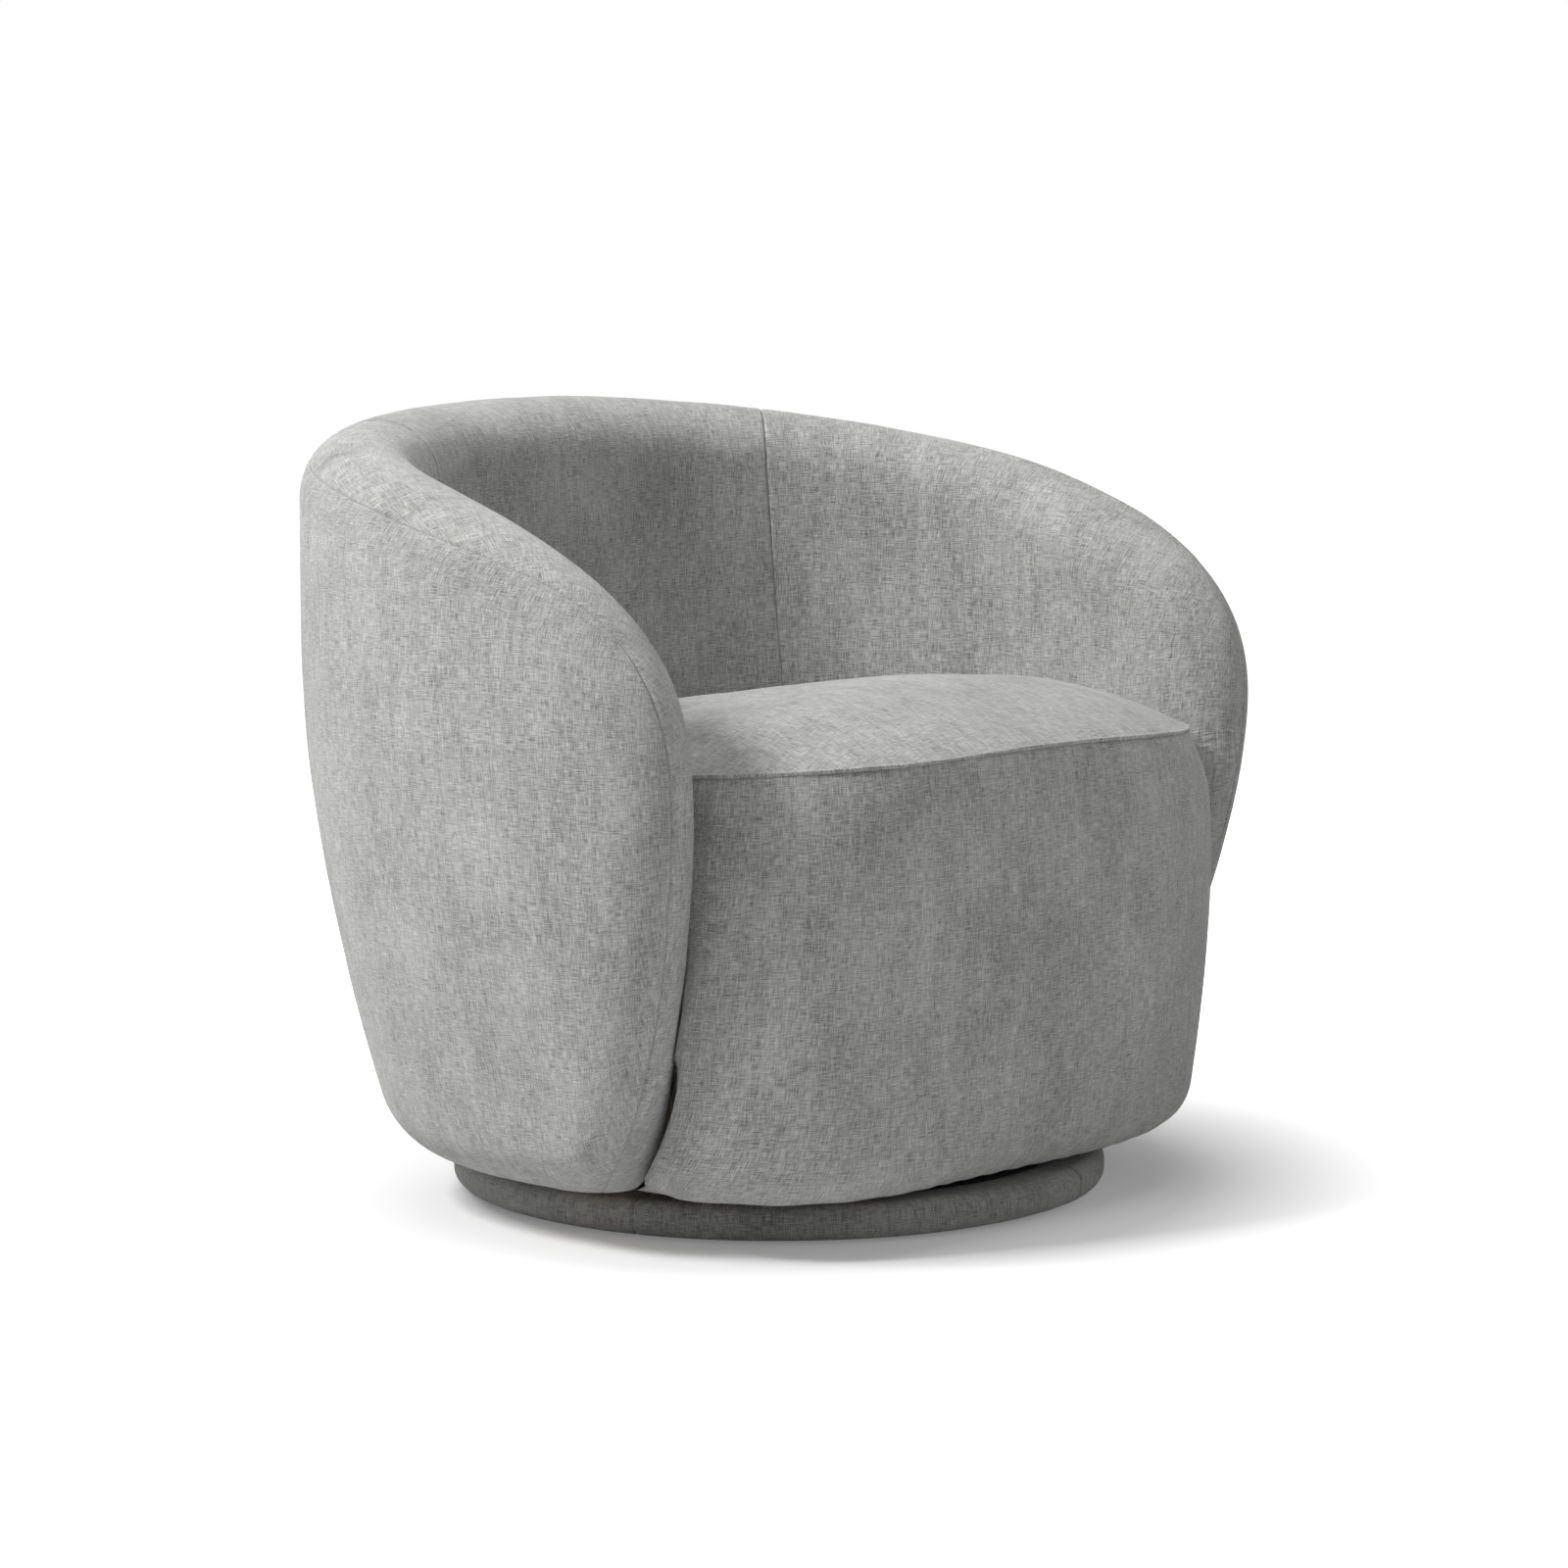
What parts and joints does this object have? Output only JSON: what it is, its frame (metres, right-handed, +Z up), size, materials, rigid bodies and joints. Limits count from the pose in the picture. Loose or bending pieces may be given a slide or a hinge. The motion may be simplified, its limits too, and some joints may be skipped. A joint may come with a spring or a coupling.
{
  "type": "swivel club chair",
  "caption": "Upholstered barrel club chair: one curved wall makes back and arms round a crowned tight seat; it swivels without limit on a low round plinth.",
  "frame": {"origin": "on the floor under the middle of the chair's box; the swivel axis, which is also the middle of the round plinth, is 15.5 mm in front of it", "axes": "+Z up; the chair's front faces -Y, so its back is towards +Y; +X is on the right of a person who looks at the front"},
  "size_m": [0.9258, 0.701, 0.721],
  "materials": {
    "upholstery_cloth": "matte",
    "plinth_cloth": "matte",
    "foam": "matte",
    "felt": "matte",
    "dust_cloth": "matte",
    "plywood": "matte",
    "fibreboard": "matte",
    "plate_steel": "satin",
    "zinc_steel": "satin",
    "dark_steel": "satin",
    "nylon": "satin"
  },
  "bodies": {
    "plinth": {"plinth_glides": "nylon", "plinth_ring": "plywood", "plinth_deck": "plywood", "plinth_screws": "zinc_steel", "plinth_padding": "foam", "plinth_cover": "plinth_cloth", "swivel_lower_plate": "plate_steel", "lower_plate_bolts": "dark_steel", "pivot_rivet": "dark_steel"},
    "bearing": {"ball_cage": "nylon", "bearing_balls": "zinc_steel"},
    "chair": {"swivel_upper_plate": "plate_steel", "upper_plate_bolts": "dark_steel", "base_board": "plywood", "dust_cover": "dust_cloth", "frame_screws": "zinc_steel", "foot_rail": "plywood", "rib_1": "plywood", "rib_2": "plywood", "rib_3": "plywood", "rib_4": "plywood", "rib_5": "plywood", "rib_6": "plywood", "rib_7": "plywood", "rib_8": "plywood", "rib_9": "plywood", "top_rail": "plywood", "left_arm_post": "plywood", "right_arm_post": "plywood", "outer_panel": "fibreboard", "inner_panel": "fibreboard", "shell_foam": "foam", "outside_cover": "upholstery_cloth", "inside_back_cover": "upholstery_cloth", "left_arm_cover": "upholstery_cloth", "right_arm_cover": "upholstery_cloth", "left_seat_panel": "plywood", "right_seat_panel": "plywood", "rear_seat_panel": "plywood", "glue_blocks": "plywood", "front_board": "plywood", "seat_deck": "plywood", "seat_springs": "dark_steel", "spring_clips": "zinc_steel", "spring_felt": "felt", "edge_roll": "foam", "seat_foam": "foam", "front_foam": "foam", "seat_top_cover": "upholstery_cloth", "front_cover": "upholstery_cloth"}
  },
  "joints": [
    {"name": "seat_swivel", "type": "hinge", "parent": "plinth", "child": "chair", "pos_m": [0, -0.0155, 0.041], "axis": [0, 0, 1], "continuous": true},
    {"name": "bearing_roll", "type": "hinge", "parent": "plinth", "child": "bearing", "pos_m": [0, -0.0155, 0.041], "axis": [0, 0, 1], "continuous": true}
  ],
  "couplings": [
    {"joint": "bearing_roll", "follows": "seat_swivel", "ratio": 0.5}
  ]
}
